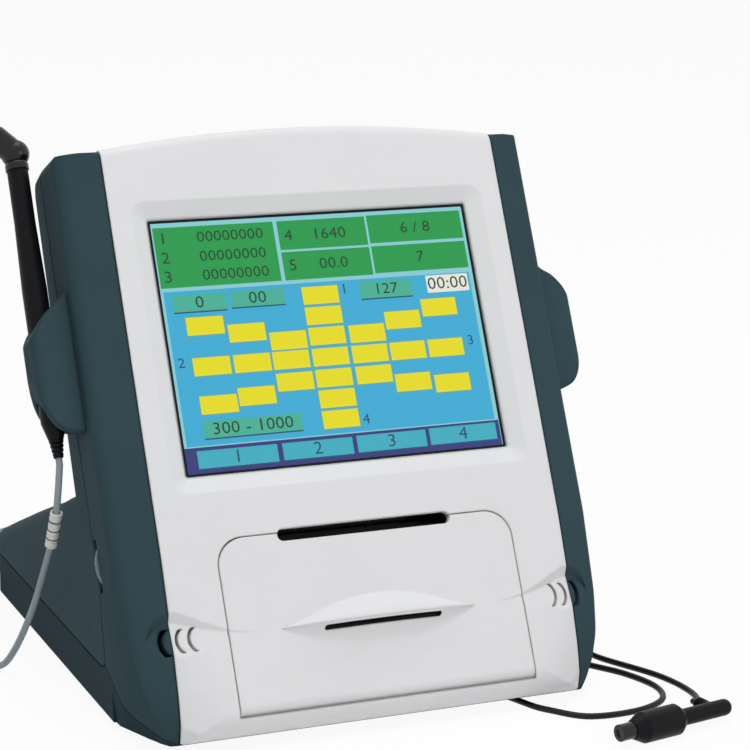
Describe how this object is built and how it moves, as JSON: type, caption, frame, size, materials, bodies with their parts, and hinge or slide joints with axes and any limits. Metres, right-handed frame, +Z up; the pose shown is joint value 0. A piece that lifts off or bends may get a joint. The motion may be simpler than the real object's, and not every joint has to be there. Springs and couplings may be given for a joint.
{
  "type": "ophthalmic ultrasound scanner",
  "caption": "Table-top ultrasound scanner for the eye, with a tilted touch screen, paper printer behind a door, and hand probes on long leads",
  "frame": {"origin": "middle of the underside of the object's box, leads left out, on the table", "axes": "+Z up, the screen faces -Y, +X to the right of a user at the screen"},
  "size_m": [0.2248, 0.271, 0.194],
  "materials": {
    "pale_shell": "light grey moulded plastic, satin",
    "slate_shell": "dark slate moulded plastic",
    "pan_shell": "dark slate moulded plastic",
    "rubber_foot": "matte",
    "steel": "zinc plated",
    "black_plastic": "satin",
    "gloss_black": "glossy",
    "screen_glass": "clear touch glass",
    "screen": "lit colour picture",
    "aluminium": "bare sheet",
    "circuit_board": "green solder mask",
    "wheel_grey": "ribbed plastic",
    "roller_rubber": "ground",
    "white_plastic": "moulded acetal",
    "brass": "turned",
    "card": "brown card tube",
    "paper": "thermal paper",
    "grey_lead": "soft grey cable jacket",
    "black_lead": "soft black cable jacket",
    "white_sleeve": "ribbed white sleeve"
  },
  "bodies": {
    "scanner": {"front_bezel": "pale_shell", "front_housing": "slate_shell", "rear_cover": "slate_shell", "base_pan": "pan_shell", "left_holder": "slate_shell", "right_holder": "slate_shell", "feet": "rubber_foot", "case_screws": "steel", "screen_gasket": "black_plastic", "touch_panel": "screen_glass", "lcd_module": "screen", "chassis_plate": "aluminium", "mainboard": "circuit_board", "pulser_board": "circuit_board", "power_board": "circuit_board", "left_speaker": "black_plastic", "right_speaker": "black_plastic", "contrast_pot": "black_plastic", "door_hinge_pins": "steel", "printer_frame": "steel", "print_head": "aluminium", "feed_motor": "steel", "idler_pin": "steel", "paper_cradle": "black_plastic", "rear_plate": "aluminium", "rocker_frame": "black_plastic", "power_jack": "black_plastic", "data_port": "steel", "pen_socket": "steel", "scan_socket": "steel", "pen_lead": "grey_lead", "pen_coil": "grey_lead", "pen_lead_end": "grey_lead", "pen_tie": "black_plastic", "pen_plug": "black_plastic", "pen_marker": "white_sleeve", "scan_lead": "black_lead", "scan_coil": "black_lead", "scan_lead_end": "black_lead", "scan_tie": "black_plastic", "scan_plug": "black_plastic"},
    "door": {"printer_door": "pale_shell"},
    "feed_roller": {"platen_roller": "roller_rubber", "platen_gear": "white_plastic"},
    "idler": {"idler_gear": "white_plastic"},
    "pinion": {"motor_pinion": "brass"},
    "paper": {"paper_spindle": "white_plastic", "paper_core": "card", "paper_roll": "paper"},
    "contrast": {"contrast_wheel": "wheel_grey"},
    "switch": {"power_rocker": "gloss_black"},
    "pen": {"pen_barrel": "black_plastic", "pen_collar": "gloss_black", "pen_head": "gloss_black", "pen_tip": "gloss_black", "pen_tail": "black_plastic"},
    "biometry_probe": {"scan_body": "black_plastic", "scan_tip": "gloss_black", "scan_handle": "black_plastic", "scan_relief": "black_plastic"}
  },
  "joints": [
    {"name": "door_hinge", "type": "hinge", "parent": "scanner", "child": "door", "pos_m": [-0.00147, -0.06839, 0.01481], "axis": [1, 0, 0], "range_deg": [0, 75]},
    {"name": "roller_spin", "type": "hinge", "parent": "door", "child": "feed_roller", "pos_m": [-0.00147, -0.04109, 0.05426], "axis": [1, 0, 0], "continuous": true},
    {"name": "idler_spin", "type": "hinge", "parent": "scanner", "child": "idler", "pos_m": [-0.00147, -0.03313, 0.06535], "axis": [1, 0, 0], "continuous": true},
    {"name": "pinion_spin", "type": "hinge", "parent": "scanner", "child": "pinion", "pos_m": [-0.00147, -0.02259, 0.0638], "axis": [1, 0, 0], "continuous": true},
    {"name": "paper_spin", "type": "hinge", "parent": "scanner", "child": "paper", "pos_m": [-0.00147, -0.03659, 0.02825], "axis": [1, 0, 0], "continuous": true},
    {"name": "contrast_turn", "type": "hinge", "parent": "scanner", "child": "contrast", "pos_m": [-0.07577, -0.02545, 0.05289], "axis": [0, -0.887, 0.4617], "range_deg": [-135, 135]},
    {"name": "switch_rock", "type": "hinge", "parent": "scanner", "child": "switch", "pos_m": [0.01853, 0.10006, 0.017], "axis": [0, 0, 1], "range_deg": [-12, 0]},
    {"name": "pen_lift", "type": "slide", "parent": "scanner", "child": "pen", "axis": [0, 0.4617, 0.887], "range_m": [0, 0.055]},
    {"name": "biometry_lift", "type": "slide", "parent": "scanner", "child": "biometry_probe", "axis": [0, 0, 1], "range_m": [0, 0.04]}
  ],
  "couplings": [
    {"joint": "idler_spin", "follows": "roller_spin", "ratio": -0.8},
    {"joint": "pinion_spin", "follows": "roller_spin", "ratio": 2}
  ]
}
